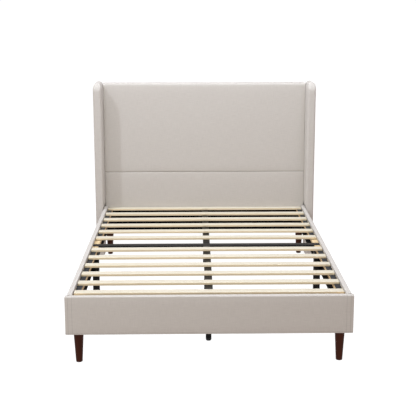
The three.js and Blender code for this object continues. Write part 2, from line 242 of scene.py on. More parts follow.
rail_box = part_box("foot_rail_cover")
folds = (rail_box[1].x - 15 * MM, rail_box[1].x - 35 * MM, rail_box[0].z + 9 * MM)
linen = linen_cloth("linen_weave_greige", "#c5beb5", "#bbb4ab")
folded_linen = linen_cloth("linen_weave_greige_folded", "#c5beb5", "#bbb4ab", folds)
print("linen threads drawn every", THREAD_MM, "mm, folds at", np.round(folds, 3).tolist())

# %% [markdown]
# ## The hidden cloths: black non-woven lining and webbing
#
# Insides and backs are closed with spun-bonded polypropylene: thin, black, and stamped with a grid of
# small weld dots. Inside the bed it is drawn darker than on the back, as painted shade for the shade
# under the slats and rails. The slats hang together on ribbed polyester webbing, which is denser and a
# little shinier.


# %% Lining and webbing
FIBRES_PER_METRE = 700.0  # real fibres are far finer than this, which is one each 1.4 mm
WELD_DOTS_PER_METRE = 260.0  # one each 3.8 mm


def spunbond(name, colour):
    """A fibrous sheet: fine noise for the fibres, and a nearly regular Voronoi pattern for the weld
    dots."""
    material, tree, shader = new_material(name, 0.9, Specular_IOR_Level=0.05)
    place = add_node(tree, "TexCoord").outputs["Object"]
    fibres = noise(tree, place, FIBRES_PER_METRE, 3.0, 0.7)
    cells = {"Vector": place, "Scale": WELD_DOTS_PER_METRE, "Randomness": 0.15}
    dots = add_node(tree, "TexVoronoi", cells).outputs["Distance"]
    paint(tree, shader, spread(tree, fibres, 0.3, 0.7), linear(colour), toned(colour, 2.2))
    bump(tree, shader, maths(tree, "ADD", spread(tree, dots, 0.0, 0.4), fibres), 0.3 * MM, 0.6)
    return material


def ribbed_webbing(name, colour, rib_mm):
    """Ribs run along the strap: a triangle wave across its width, cut by a finer wave of weft along
    it. Its colour follows the same height, as a painted highlight on the ribs and painted shade
    between."""
    material, tree, shader = new_material(name, 0.75, Sheen_Weight=0.08, Specular_IOR_Level=0.2)
    cloth = add_node(tree, "UVMap", uv_map="cloth").outputs["UV"]
    per_rib = 1 / (rib_mm * MM)
    parts = add_node(tree, "SeparateXYZ", {"Vector": scaled(tree, cloth, (per_rib, per_rib, 1))})
    rib = maths(tree, "PINGPONG", parts.outputs["X"], 0.5)
    weft = maths(tree, "PINGPONG", maths(tree, "MULTIPLY", parts.outputs["Y"], 1.7), 0.5)
    height = maths(tree, "ADD", rib, maths(tree, "MULTIPLY", weft, 0.5))
    # painted light: the rib tops are painted lighter and the grooves between them darker
    paint(tree, shader, spread(tree, height, 0.1, 0.7), linear(colour), toned(colour, 2.6))
    bump(tree, shader, height, 0.6 * MM, 0.8)
    return material


# painted shade: the inside lining is darker than the same cloth on the back, standing in for the shade
# inside the bed
lining_with_painted_shade = spunbond("spunbond_lining_black_painted_shade", "#050506")
back_lining = spunbond("spunbond_back_cloth_black", "#141416")
webbing = ribbed_webbing("polyester_webbing_black", "#17181b", 4.0)

# %% [markdown]
# ## Timber
#
# Three woods show. The slats are planed poplar, nearly white, with edges painted yellower: the faces
# are kept paler and greyer for the strong top light on them. The ledgers and corner blocks are plain
# pine. The legs are turned and stained a red walnut brown under satin lacquer.
# Wood is rings of light and dark seen along the grain, so one function stretches noise along the board
# and lets it bend a set of rings.


# %% Wood
def wood(name, light, dark, grain, ring_mm, roughness, specular=0.4, coat=0.0, edge=None):
    """Rings are a wave across the grain whose phase is pushed about by stretched noise. grain is the
    long axis, 0 to 2. Where the piece carries an "edge" attribute, its sides take the edge colour:
    painted light, a yellower side beside faces kept pale and grey for the top light on them."""
    material, tree, shader = new_material(name, roughness, Coat_Weight=coat, Coat_Roughness=0.25,
                                          Specular_IOR_Level=specular)
    place = add_node(tree, "TexCoord").outputs["Object"]
    squeeze = [1.0, 1.0, 1.0]
    squeeze[grain] = 0.07
    stretched = scaled(tree, place, squeeze)
    drift = noise(tree, stretched, 14.0, 3.0, 0.55)
    shifted = add_node(tree, "VectorMath", {0: stretched, 1: (3.1, 1.7, 2.3)}).outputs[0]
    rings = noise(tree, shifted, 1000 / ring_mm, 2.0, 0.6)
    pores = noise(tree, stretched, 900.0, 2.0, 0.6)
    rings, drift = maths(tree, "MULTIPLY", rings, 0.65), maths(tree, "MULTIPLY", drift, 0.5)
    figure = spread(tree, maths(tree, "ADD", rings, drift), 0.38, 0.78)
    colour = mix_colours(tree, figure, linear(light), linear(dark))
    if edge:
        sides = add_node(tree, "Attribute", attribute_name="edge").outputs["Fac"]
        colour = mix_colours(tree, sides, colour, linear(edge))
    tree.links.new(colour, shader.inputs["Base Color"])
    height = maths(tree, "ADD", figure, maths(tree, "MULTIPLY", pores, 0.6))
    bump(tree, shader, height, 0.15 * MM, 0.35)
    return material


# painted light: the planed faces are kept paler and greyer than the yellower edges, for the strong top
# light on the faces
slat_wood = wood("poplar_planed", "#d3cab8", "#c7bca4", 0, 9.0, 0.62, edge="#e0cdaa")
ledger_wood = wood("pine_planed", "#dfc8a0", "#c7a877", 1, 8.0, 0.65)
block_wood = wood("pine_blocks", "#dcc59c", "#c3a473", 2, 8.0, 0.65)
board_wood = wood("poplar_plywood", "#c3a178", "#ab8759", 0, 6.0, 0.7)
leg_wood = wood("walnut_stained_lacquered", "#48200f", "#331407", 2, 5.0, 0.36, 0.15, 0.04)
print("five woods, with rings from 5 to 9 mm apart")

# %% [markdown]
# ## Steel, plastic and foam
#
# The centre frame is powder-coated steel: black, satin, with the fine orange peel that the baked powder
# leaves. The screws and staples are zinc plated, so they are metallic and a little streaky. The glides
# are moulded polypropylene. Foam is a pale open cell, and its pores are a Voronoi pattern.


# %% Steel, plastic and foam
PEEL_PER_METRE = 420.0  # orange peel has waves about 2.4 mm long
PLATING_CLOUDS_PER_METRE = 60.0
GRIT_PER_METRE = 1500.0  # 0.7 mm, from the mould's spark-eroded wall
FOAM_CELLS_PER_METRE = 600.0  # a real cell is about 1 mm, and is drawn at 1.7 mm


def powder_coat(name, colour):
    """A satin coat: short waves for its peel, and long ones for the dust that lies on it."""
    material, tree, shader = new_material(name, 0.42, Specular_IOR_Level=0.2)
    place = add_node(tree, "TexCoord").outputs["Object"]
    peel = noise(tree, place, PEEL_PER_METRE, 2.0)
    dust = spread(tree, noise(tree, place, 9.0, 4.0, 0.6), 0.45, 0.8)
    paint(tree, shader, dust, linear(colour), toned(colour, 1.9))
    tree.links.new(spread(tree, peel, -0.6, 2.2), shader.inputs["Roughness"])
    bump(tree, shader, peel, 0.08 * MM, 0.5)
    return material


def zinc_plate(name):
    """Plated steel: clouds of light and dark grey, with fine streaks in how rough it is."""
    material, tree, shader = new_material(name, 0.36, Metallic=1.0)
    place = add_node(tree, "TexCoord").outputs["Object"]
    cloud = noise(tree, place, PLATING_CLOUDS_PER_METRE, 4.0, 0.65)
    paint(tree, shader, cloud, linear("#8d9095"), linear("#c9cbcc"))
    streaks = noise(tree, scaled(tree, place, (40, 40, 900)), 1.0, 2.0)
    tree.links.new(spread(tree, streaks, -0.6, 2.0), shader.inputs["Roughness"])
    bump(tree, shader, streaks, 0.05 * MM, 0.4)
    return material


def moulded_plastic(name, colour):
    """An even colour with a fine grit in both its tone and its relief."""
    material, tree, shader = new_material(name, 0.5, Specular_IOR_Level=0.45)
    place = add_node(tree, "TexCoord").outputs["Object"]
    grit = noise(tree, place, GRIT_PER_METRE, 2.0)
    paint(tree, shader, grit, linear(colour), toned(colour, 1.5))
    bump(tree, shader, grit, 0.06 * MM, 0.5)
    return material


def open_foam(name, colour):
    """Cells of a Voronoi pattern, with painted shade darkening their middles, where they are open."""
    material, tree, shader = new_material(name, 0.95, Specular_IOR_Level=0.2)
    place = add_node(tree, "TexCoord").outputs["Object"]
    inputs = {"Vector": place, "Scale": FOAM_CELLS_PER_METRE}
    cells = add_node(tree, "TexVoronoi", inputs).outputs["Distance"]
    # painted shade: each cell is darker towards its middle, where its open pore sinks in
    paint(tree, shader, spread(tree, cells, 0.0, 0.5), toned(colour, 0.75), linear(colour))
    bump(tree, shader, cells, 0.6 * MM, 0.8)
    return material


black_steel = powder_coat("steel_powder_coated_black", "#0f0f10")
zinc_steel = zinc_plate("steel_zinc_plated")
black_plastic = moulded_plastic("polypropylene_black", "#161617")
foam = open_foam("polyurethane_foam", "#efe6c6")
staple_steel = zinc_plate("steel_staples")

# %% [markdown]
# ## Tools for surfaces
#
# Every new piece is a grid of points worked out with numpy and handed to Blender in one go. Each grid
# also gets a UV map in metres, so that cloth patterns keep their size. Points that fall together at a
# seam are merged afterwards, and then every face is turned outwards.


# %% Grids into meshes
def grid_faces(rows, columns):
    """Corner numbers of the quads of a grid of points numbered row by row."""
    index = np.arange(rows * columns).reshape(rows, columns)
    corners = [index[:-1, :-1], index[:-1, 1:], index[1:, 1:], index[1:, :-1]]
    return np.stack(corners, -1).reshape(-1, 4)


def cloth_lengths(points):
    """Metres along the rows and down the columns of a grid, by adding up the distances between its
    points."""
    down = np.linalg.norm(np.diff(points, axis=0), axis=2)
    across = np.linalg.norm(np.diff(points, axis=1), axis=2)
    v = np.zeros(points.shape[:2])
    u = np.zeros(points.shape[:2])
    v[1:] = np.cumsum(down.max(axis=1))[:, None]
    u[:, 1:] = np.cumsum(across.max(axis=0))[None, :]
    return np.stack([u, v], -1)


def outwards(mesh, merge=1e-6):
    """Merges doubled points, then turns the faces so that the mesh's volume about its centre is
    positive."""
    work = bmesh.new()
    work.from_mesh(mesh)
    bmesh.ops.remove_doubles(work, verts=work.verts, dist=merge)
    bmesh.ops.dissolve_degenerate(work, edges=work.edges, dist=merge)
    bmesh.ops.recalc_face_normals(work, faces=work.faces)
    middle = sum((v.co for v in work.verts), Vector()) / len(work.verts)
    facing = sum((f.calc_center_median() - middle).dot(f.normal) * f.calc_area() for f in work.faces)
    if facing < 0:
        bmesh.ops.reverse_faces(work, faces=work.faces)
    work.to_mesh(mesh)
    work.free()


def points_of(mesh):
    """The mesh's points as an array with one row each."""
    flat = np.empty(3 * len(mesh.vertices), np.float32)
    mesh.vertices.foreach_get("co", flat)
    return flat.reshape(-1, 3).astype(float)


def mesh_piece(name, points, faces, material, loop_uv=None, smooth=True):
    """A new object from points and faces; loop_uv gives a UV for each face corner, in metres."""
    mesh = bpy.data.meshes.new(name)
    mesh.from_pydata(np.asarray(points).reshape(-1, 3).tolist(), [], faces)
    if loop_uv is not None:
        layer = mesh.uv_layers.new(name="cloth")
        layer.data.foreach_set("uv", np.asarray(loop_uv, np.float32).ravel())
    mesh.polygons.foreach_set("use_smooth", [smooth] * len(mesh.polygons))
    mesh.materials.append(material)
    made = bpy.data.objects.new(name, mesh)
    bpy.context.scene.collection.objects.link(made)
    return made


def grid_piece(name, points, material, caps=False):
    """One grid as a piece. caps closes the first and last row, whose points go once round."""
    rows, columns = points.shape[:2]
    quads = grid_faces(rows, columns)
    uv = cloth_lengths(points).reshape(-1, 2)
    loop_uv = uv[quads.reshape(-1)]
    faces = quads.tolist()
    if caps:
        first = np.arange(columns - 1)
        for ring in (first, first + (rows - 1) * columns):
            faces.append(ring.tolist())
            flat = points.reshape(-1, 3)[ring]
            spans = np.argsort(np.ptp(flat, axis=0))[1:]
            loop_uv = np.concatenate([loop_uv, flat[:, np.sort(spans)]])
    made = mesh_piece(name, points, faces, material, loop_uv)
    outwards(made.data)
    return made


def shade_by_angle(piece, degrees=35):
    """Marks edges sharper than the angle, so that flats stay flat and rounds stay smooth."""
    piece.data.set_sharp_from_angle(angle=math.radians(degrees))


def settle(piece, slot, *replaced, body=BODY):
    """Fastens a finished piece to its body and lets it stand for CAD nodes. slot, its finish's name, is
    not used.
    """
    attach(piece, body)
    if replaced:
        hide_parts(*replaced)
    return piece


# %% [markdown]
# ## The shape of a wrapped cover
#
# A cover is one cloth that starts on the back of its board, comes round the bottom edge, crosses the
# face, goes over the top edge and ends on the back again. That is a profile of straight runs and arcs.
# Carried along the board it makes the cover, and near each end the profile shrinks round a quarter
# circle, as cloth does over a corner. Two panels and three rails are the same shape in different sizes,
# so one function makes them all.


# %% Profiles and wrapped covers
LEAST_ROUND = 0.2 * MM


def arc_profile(corners, radii, steps, arc_steps=6):
    """An open outline through corners. Each inner corner is an arc of its radius, tangent to both
    sides, and each straight run has the given number of steps."""
    corners = np.asarray(corners, float)
    runs = np.diff(corners, axis=0)
    unit = runs / np.linalg.norm(runs, axis=1)[:, None]
    starts = corners[:-1].copy()
    ends = corners[1:].copy()
    starts[1:] += unit[1:] * np.asarray(radii)[:, None]
    ends[:-1] -= unit[:-1] * np.asarray(radii)[:, None]
    points = []
    for i, count in enumerate(steps):
        share = np.linspace(0, 1, count + 1)[:, None]
        points.append(starts[i] + (ends[i] - starts[i]) * share)
        if i < len(radii):
            turn = np.linspace(0, math.pi / 2, arc_steps + 1)[1:-1, None]
            arriving, leaving = unit[i] * radii[i], unit[i + 1] * radii[i]
            middle = ends[i] + leaving
            points.append(middle - leaving * np.cos(turn) + arriving * np.sin(turn))
    return np.concatenate(points)


def wrapped_grid(depth, bottom, top, ends, radii, folds, step, end_round=0.0):
    """Points (along, depth, height) of a cover. Depth is 0 on the padded face. radii are the edges in
    order: back bottom, face bottom, face top, back top. folds are how far the cloth comes up and down
    the back. With end_round, each end is a quarter circle of that radius, and then a wall that closes
    in to the back."""
    height_steps = max(2, round((top - bottom) / step))
    depth_steps = max(2, round(depth / step))
    fold_steps = [max(1, round(fold / step)) for fold in folds]
    steps = [fold_steps[0], depth_steps, height_steps, depth_steps, fold_steps[1]]
    along_steps = max(2, round((ends[1] - ends[0]) / step))
    along = np.linspace(ends[0] + end_round, ends[1] - end_round, along_steps + 1)
    insets = np.zeros(len(along))
    if end_round:
        turn = np.linspace(0, math.pi / 2, 5)[1:]
        out, inward = end_round * np.sin(turn), end_round * (1 - np.cos(turn))
        wall = np.linspace(end_round, depth - 1 * MM, 4)[1:]
        tail_at = np.concatenate([out, np.full(len(wall), end_round)])
        tail_inset = np.concatenate([inward, wall])
        along = np.concatenate([(along[0] - tail_at)[::-1], along, along[-1] + tail_at])
        insets = np.concatenate([tail_inset[::-1], insets, tail_inset])
    rings = []
    for inset in insets:
        low, high, back = bottom + inset, top - inset, depth
        corners = [(back, low + folds[0]), (back, low), (inset, low),
                   (inset, high), (back, high), (back, high - folds[1])]
        room = max(depth - inset, LEAST_ROUND)
        face_rounds = [max(radius - inset, LEAST_ROUND) for radius in radii[1:3]]
        shrunk = [min(radius, 0.45 * room) for radius in (radii[0], *face_rounds, radii[3])]
        rings.append(arc_profile(corners, shrunk, steps))
    rings = np.array(rings)
    lengths = np.broadcast_to(along[:, None, None], rings.shape[:2] + (1,))
    return np.concatenate([lengths, rings], -1)


def slow_ripple(a, b, seed, size):
    """Gentle unevenness of stretched cloth: a few sine waves in both directions with fixed random
    phases."""
    rng = np.random.default_rng(seed)
    total = np.zeros(np.broadcast(a, b).shape)
    for _ in range(7):
        wave = rng.uniform(4, 22, 2)
        phase = rng.uniform(0, 2 * math.pi, 2)
        total += np.sin(a * wave[0] + phase[0]) * np.sin(b * wave[1] + phase[1])
    return size * total / 7


def swell(piece, free, pressure, cap):
    """Lets Blender's cloth solver push the cover out over its foam. Points where free is 0 are pinned
    to the board, gravity is off, and no point moves further than cap. The solved shape replaces the
    mesh's own points."""
    rest = points_of(piece.data)
    held = piece.vertex_groups.new(name="held")
    held.add(np.flatnonzero(~free).tolist(), 1.0, "REPLACE")
    cloth = piece.modifiers.new("cloth", "CLOTH")
    cloth.settings.quality = 4
    cloth.settings.mass = 0.3
    cloth.settings.tension_stiffness = 40
    cloth.settings.compression_stiffness = 40
    cloth.settings.shear_stiffness = 20
    cloth.settings.bending_stiffness = 8
    cloth.settings.vertex_group_mass = "held"
    cloth.settings.use_pressure = True
    cloth.settings.uniform_pressure_force = pressure
    cloth.settings.effector_weights.gravity = 0
    cloth.collision_settings.use_collision = False
    scene = bpy.context.scene
    for step in range(1, 21):
        scene.frame_set(step)
    solved = piece.evaluated_get(bpy.context.evaluated_depsgraph_get()).to_mesh()
    moved = points_of(solved) - rest
    piece.modifiers.remove(cloth)
    piece.vertex_groups.remove(held)
    scene.frame_set(1)
    length = np.linalg.norm(moved, axis=1)
    soft = cap * np.tanh(length / cap)
    moved *= (soft / np.maximum(length, 1e-9))[:, None]
    piece.data.vertices.foreach_set("co", (rest + moved).astype(np.float32).ravel())
    piece.data.update()
    print(piece.name, "swelled up to", round(float(soft.max()) / MM, 2), "mm")


def finish_cover(piece, thickness):
    """One level of subdivision smooths the cloth, and Solidify gives it its thickness, inwards."""
    smooth = piece.modifiers.new("smooth", "SUBSURF")
    smooth.levels = smooth.render_levels = 1
    wall = piece.modifiers.new("thickness", "SOLIDIFY")
    wall.thickness = thickness
    wall.offset = -1
    return piece


# %% [markdown]
# ## Headboard panels
#
# The headboard is two padded panels one above the other: a tall one you lean on and a low one behind
# the mattress. Each is a board, 38 mm of foam and a cover pulled over both and stapled behind. The line
# between them is only the valley where two rounded edges meet, so it comes from the shapes and needs no
# drawing. Both covers start a little inside the CAD face, so the swelling brings them out to it.

# %% Panel covers
STEP = 12 * MM
FABRIC = 1.6 * MM


def panel_cover(node, face_rounds, cap, seed, covered_to):
    """A cover whose depth runs along +Y and whose length runs along X. It starts 1.5 mm inside the CAD
    face, with a ripple that fades to nothing within 30 mm of its edges. Below covered_to it is pinned
    flat behind the lining."""
    low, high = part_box(node)
    radii = (3 * MM, face_rounds[0], face_rounds[1], 3 * MM)
    ends, folds = (low.x, high.x), (30 * MM, 30 * MM)
    grid = wrapped_grid(high.y - low.y, low.z, high.z, ends, radii, folds, STEP, 3 * MM)
    along, depth, height = np.moveaxis(grid, -1, 0)
    near_face = np.clip(1 - depth / (12 * MM), 0, 1)
    edge = np.minimum(np.minimum(height - low.z, high.z - height), high.x - abs(along))
    fade = np.clip(edge / (30 * MM), 0, 1)
    depth = depth + near_face * (1.5 * MM + fade * slow_ripple(along, height, seed, 0.6 * MM))
    name = node.replace("_cover", "_upholstery")
    made = grid_piece(name, np.stack([along, low.y + depth, height], -1), linen)
    points = points_of(made.data)
    inside = (points[:, 2] > low.z + 5 * MM) & (points[:, 2] < high.z - face_rounds[1])
    inside &= (abs(points[:, 0]) < high.x - 3 * MM) & (points[:, 2] > covered_to)
    swell(made, (points[:, 1] < low.y + 24 * MM) & inside, 4.0, cap)
    finish_cover(made, FABRIC)
    return settle(made, "linen", node)


slats_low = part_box("slat_12")[0].z
upper_panel = panel_cover("headboard_upper_cover", (5 * MM, 19 * MM), 2.0 * MM, 11, 0)
covered_to = slats_low + 40 * MM
lower_panel = panel_cover("headboard_lower_cover", (8 * MM, 6 * MM), 2.0 * MM, 12, covered_to)
print("panels", len(upper_panel.data.vertices), "and", len(lower_panel.data.vertices), "points")

# %% [markdown]
# ## Wings
#
# A wing is a board wrapped in foam and cloth on all sides, with a round nose at its top front corner.
# In plan it is a rounded rectangle, so the surface is that ring carried up from the open bottom.
# Towards the top the ring gets thinner along a quarter circle, and its front runs back along the larger
# nose radius. Where the side rail passes, the padding is pressed flat against it, as foam is.


# %% Wing covers
def ring(half_x, front, back, front_round, back_round, side_steps):
    """A rounded rectangle in plan, once round from the middle of the back, as (x, y) about the wing's
    middle plane."""
    half = (0.0, back)
    corners = [half, (half_x, back), (half_x, front), (-half_x, front), (-half_x, back), half]
    radii = [back_round, front_round, front_round, back_round]
    return arc_profile(corners, radii, [2, side_steps, 3, side_steps, 2], 7)


def wing_grid(low, high, pad, foot_back, foot_top):
    """Rings up the wing, shrunk by pad at the sides. Below foot_top the back stops at foot_back, so two
    rings share that height. The top is round across: the half thickness is what is left of a quarter
    ellipse, top_round high and shoulder wide. The front follows a circle of radius nose."""
    top_round, shoulder, nose, back_round = 38 * MM, 21 * MM, 60 * MM, 10 * MM
    half, top = (high.x - low.x) / 2 - pad, high.z - 0.5 * MM
    front, back = low.y + pad, high.y - pad
    foot = np.linspace(low.z, foot_top, round((foot_top - low.z) / STEP) + 1)
    straight = np.linspace(foot_top, top - nose, round((top - nose - foot_top) / STEP) + 1)
    curved = top - nose + (nose - top_round) * np.linspace(0, 1, 9)[1:]
    final = top - top_round + top_round * np.sin(np.linspace(0, math.pi / 2, 11)[1:])
    levels = np.concatenate([foot, straight, curved, final])
    backs = np.where(np.arange(len(levels)) < len(foot), foot_back, back)
    rings = []
    for z, back_here in zip(levels, backs):
        over = max(z - (top - top_round), 0) / top_round
        thin = shoulder * (1 - math.sqrt(max(1 - over**2, 0)))
        up_nose = max(z - (top - nose), 0) / nose
        run_back = nose * (1 - math.sqrt(max(1 - up_nose**2, 0)))
        up_back = max(z - (top - 2 * back_round), 0) / (2 * back_round)
        run_in = 2 * back_round * (1 - math.sqrt(max(1 - up_back**2, 0)))
        width = half - thin
        rounds = min(12 * MM, 0.92 * width), min(back_round, 0.9 * width)
        flat = ring(width, front + run_back, back_here - run_in, *rounds, 12)
        rings.append(np.column_stack([flat, np.full(len(flat), z)]))
    rings = np.array(rings)
    ridge = rings[-1].copy()
    ridge[:, 0] = 0
    return np.concatenate([rings, ridge[None]])


def press_for_rail(points, inner, rail_outer, rail_low, rail_high, panel_face):
    """Moves the inner face out to the rail's outer face where the rail passes, easing back over 25 mm
    around it."""
    ease = 25 * MM
    above = np.clip((points[..., 2] - rail_high) / ease, 0, 1)
    below = np.clip((rail_low - points[..., 2]) / ease, 0, 1)
    behind = np.clip((points[..., 1] - panel_face) / ease, 0, 1)
    away = np.maximum(np.maximum(above, below), behind)
    share = 1 - away * away * (3 - 2 * away)
    target = inner + (rail_outer + 0.8 * MM - inner) * share
    pressed = points.copy()
    pressed[..., 0] = np.where(points[..., 0] < target, target, points[..., 0])
    return pressed


def meet_panel(points, pad, inner, panel_face):
    """Brings the inner face out to the CAD face near the panel, easing in over 30 mm, so that the two
    touch."""
    near = np.clip((points[..., 1] - (panel_face - 45 * MM)) / (30 * MM), 0, 1)
    flat = abs(points[..., 0] - (inner + pad)) < 0.6 * MM
    met = points.copy()
    met[..., 0] -= np.where(flat, near * (pad - 0.3 * MM), 0)
    return met


def wing_cover(side, sign):
    """The right-hand wing, mirrored for the left by changing the sign of x."""
    node = "wing_" + side + "_cover"
    low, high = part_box("wing_right_cover")
    rail_low, rail_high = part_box("side_rail_right_cover")
    panel_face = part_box("headboard_lower_cover")[0].y
    foot_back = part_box("leg_rear_right")[0].y - 7 * MM
    pad = 3 * MM
    points = wing_grid(low, high, pad, foot_back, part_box("headboard_lower_cover")[0].z)
    ripple = slow_ripple(points[..., 1] * 2, points[..., 2], 20 + sign, 0.4 * MM)
    points[..., 0] *= 1 + ripple / (high.x - low.x)
    points[..., 0] += (low.x + high.x) / 2
    points = meet_panel(points, pad, low.x, panel_face)
    points = press_for_rail(points, low.x, rail_high.x, rail_low.z, rail_high.z, panel_face)
    points[..., 0] *= sign
    made = grid_piece("wing_" + side + "_upholstery", points, linen)
    at = points_of(made.data)
    beside_rail = (at[:, 2] < rail_high.z + 40 * MM) & (abs(at[:, 0]) < (low.x + high.x) / 2)
    behind_face = (at[:, 1] > panel_face - 20 * MM) & (abs(at[:, 0]) < low.x + 6 * MM)
    free = (at[:, 2] > low.z + 6 * MM) & (at[:, 1] < high.y - 12 * MM) & ~beside_rail & ~behind_face
    swell(made, free, 4.0, 1.2 * MM)
    finish_cover(made, FABRIC)
    return settle(made, "linen", node)


wings = {side: wing_cover(side, sign) for side, sign in (("left", -1), ("right", 1))}
print("each wing has", len(wings["left"].data.vertices), "points")

# %% [markdown]
# ## Rails
#
# A rail is a board with thin padding and one cloth folded round it. On a side rail the padding rolls
# over the top edge and hides the slat ends, and below that roll the board's inner face is bare but for
# the lining. Side rails run into the headboard, so their ends stay open. The foot rail is wrapped all
# round.


# %% Rail covers
def side_rail_cover(side, sign):
    """The profile starts behind the board's bottom edge, comes round the outer face and over the top,
    and ends under the roll of padding on the inner top edge. Depth runs inwards from the outer face,
    length along Y."""
    low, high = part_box("side_rail_right_cover")
    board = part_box("side_rail_right_board")[0]
    board_depth, roll_depth = high.x - board.x, high.x - low.x
    roll_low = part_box("slat_01")[0].z
    corners = [(board_depth, board.z), (board_depth, low.z), (0, low.z), (0, high.z),
               (roll_depth, high.z), (roll_depth, roll_low), (board_depth + 0.3 * MM, roll_low)]
    radii = [1.5 * MM, 6 * MM, 7 * MM, 3.6 * MM, 3.4 * MM]
    outline = arc_profile(corners, radii, [1, 2, 16, 2, 2, 1])
    length = np.linspace(low.y, high.y, round((high.y - low.y) / STEP) + 1)
    along = np.broadcast_to(length[:, None], (len(length), len(outline)))
    depth, height = np.broadcast_to(outline, (len(length),) + outline.shape).transpose(2, 0, 1)
    near_face = np.clip(1 - depth / (8 * MM), 0, 1)
    depth = depth + near_face * (1.5 * MM + slow_ripple(along, height, 31 + sign, 0.4 * MM))
    cloth = np.stack([sign * (high.x - depth), along, height], -1)
    made = grid_piece(f"side_rail_{side}_upholstery", cloth, linen)
    at = points_of(made.data)
    wing_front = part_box("wing_right_cover")[0].y - 10 * MM
    free = (abs(at[:, 0]) > high.x - 5 * MM) & (at[:, 1] < wing_front) & (at[:, 1] > low.y + 8 * MM)
    free &= (at[:, 2] > low.z + 4 * MM) & (at[:, 2] < high.z - 4 * MM)
    swell(made, free, 3.0, 1.8 * MM)
    finish_cover(made, 0.9 * MM)
    return settle(made, "linen", f"side_rail_{side}_cover")


def foot_rail_cover():
    """As a panel cover, with small rounds and wrapped ends."""
    low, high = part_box("foot_rail_cover")
    radii = (1.5 * MM, 6 * MM, 7 * MM, 4 * MM)
    ends, folds = (low.x, high.x), (31 * MM, 46 * MM)
    grid = wrapped_grid(high.y - low.y, low.z, high.z, ends, radii, folds, STEP, 4 * MM)
    along, depth, height = np.moveaxis(grid, -1, 0)
    near_face = np.clip(1 - depth / (8 * MM), 0, 1)
    depth = depth + near_face * (1.5 * MM + slow_ripple(along, height, 41, 0.5 * MM))
    cloth = np.stack([along, low.y + depth, height], -1)
    made = grid_piece("foot_rail_upholstery", cloth, folded_linen)
    at = points_of(made.data)
    free = (at[:, 1] < low.y + 6 * MM) & (abs(at[:, 0]) < high.x - 8 * MM)
    free &= (at[:, 2] > low.z + 4 * MM) & (at[:, 2] < high.z - 4 * MM)
    swell(made, free, 3.0, 2.0 * MM)
    finish_cover(made, 1.2 * MM)
    return settle(made, "linen", "foot_rail_cover")


rails = [side_rail_cover("left", -1), side_rail_cover("right", 1), foot_rail_cover()]
print(len(rails), "rail covers")

# %% [markdown]
# ## Bars
#
# Slats, ledgers, tubes, blocks and foam are all bars: a rounded rectangle carried along a straight
# line, with its ends eased in the same way. Real stock is never sharp, so even steel gets a small
# radius to catch the light.


# %% A bar with eased edges
def bar_grid(low, high, axis, corner, end_ease, spacing):
    """Rings of a rounded rectangle along the axis. At each end the ring shrinks round a quarter
    circle."""
    low, high = np.array(low, float), np.array(high, float)
    other = [(axis + 1) % 3, (axis + 2) % 3]
    middle = (low + high) / 2
    half = (high - low)[other] / 2
    turn = np.linspace(0, math.pi / 2, 4)
    count = max(1, round((high[axis] - low[axis] - 2 * end_ease) / spacing))
    straight = np.linspace(low[axis] + end_ease, high[axis] - end_ease, count + 1)
    start = low[axis] + end_ease * (1 - np.sin(turn[::-1]))
    along = np.concatenate([start[:-1], straight, (low[axis] + high[axis]) - start[:-1][::-1]])
    eased = end_ease * (1 - np.cos(turn[::-1]))[:-1]
    insets = np.concatenate([eased, np.zeros(len(straight)), eased[::-1]])
    rings = []
    for place, inset in zip(along, insets):
        a, b = half - inset
        r = max(min(corner, 0.9 * a, 0.9 * b) - inset / 2, 0.1 * MM)
        corners = [(0, b), (-a, b), (-a, -b), (a, -b), (a, b), (0, b)]
        flat = arc_profile(corners, [r] * 4, [1, 1, 1, 1, 1], 4)
        points = np.empty((len(flat), 3))
        points[:, axis] = place
        points[:, other[0]] = middle[other[0]] + flat[:, 0]
        points[:, other[1]] = middle[other[1]] + flat[:, 1]
        rings.append(points)
    return np.array(rings)


def bar(name, low, high, axis, corner, material, end_ease=1 * MM, spacing=0.1):
    """A closed bar as a piece, with its flats kept flat."""
    points = bar_grid(low, high, axis, corner, end_ease, spacing)
    made = grid_piece(name, points, material, caps=True)
    shade_by_angle(made)
    return made


# %% [markdown]
# ## Slats
#
# Twelve planed slats lie across the bed. Each is bent up by less than a millimetre in the middle and no
# two are quite alike. Their edges are painted yellower than the planed faces, whose paler grey stands
# in for strong top light, and an attribute on the points tells the material which is which.


# %% Slats
def slat(number, seed):
    """A bar whose middle is raised: height follows 1 minus the square of the distance from the
    middle."""
    node = f"slat_{number:02d}"
    low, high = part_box(node)
    rng = np.random.default_rng(seed)
    points = bar_grid(low, high, 0, 2 * MM, 1.2 * MM, 60 * MM)
    share = points[..., 0] / high.x
    points[..., 2] += rng.uniform(0.2, 0.9) * MM * (1 - share**2)
    points[..., 1] += rng.uniform(-0.5, 0.5) * MM * np.sin(share * rng.uniform(1.5, 3))
    made = grid_piece(node + "_planed", points, slat_wood, caps=True)
    shade_by_angle(made)
    y = points_of(made.data)[:, 1]
    off_middle = abs(y - (low.y + high.y) / 2) / ((high.y - low.y) / 2)
    # edge marks the slat's sides, which take the yellower painted-light colour
    edge = made.data.attributes.new("edge", "FLOAT", "POINT")
    edge.data.foreach_set("value", (off_middle > 0.97).astype(np.float32))
    return settle(made, "slat_wood", node)


slats = [slat(number, 100 + number) for number in range(1, 13)]
print(len(slats), "slats")

# %% [markdown]
# ## Webbing and ledgers
#
# The slats of each group are stapled to two straps, so that they roll up for packing and keep their
# spacing. Between slats a strap dips a little under its own weight onto the ledger. The strap is a flat
# ribbon whose height is a small sine wave between the slats.


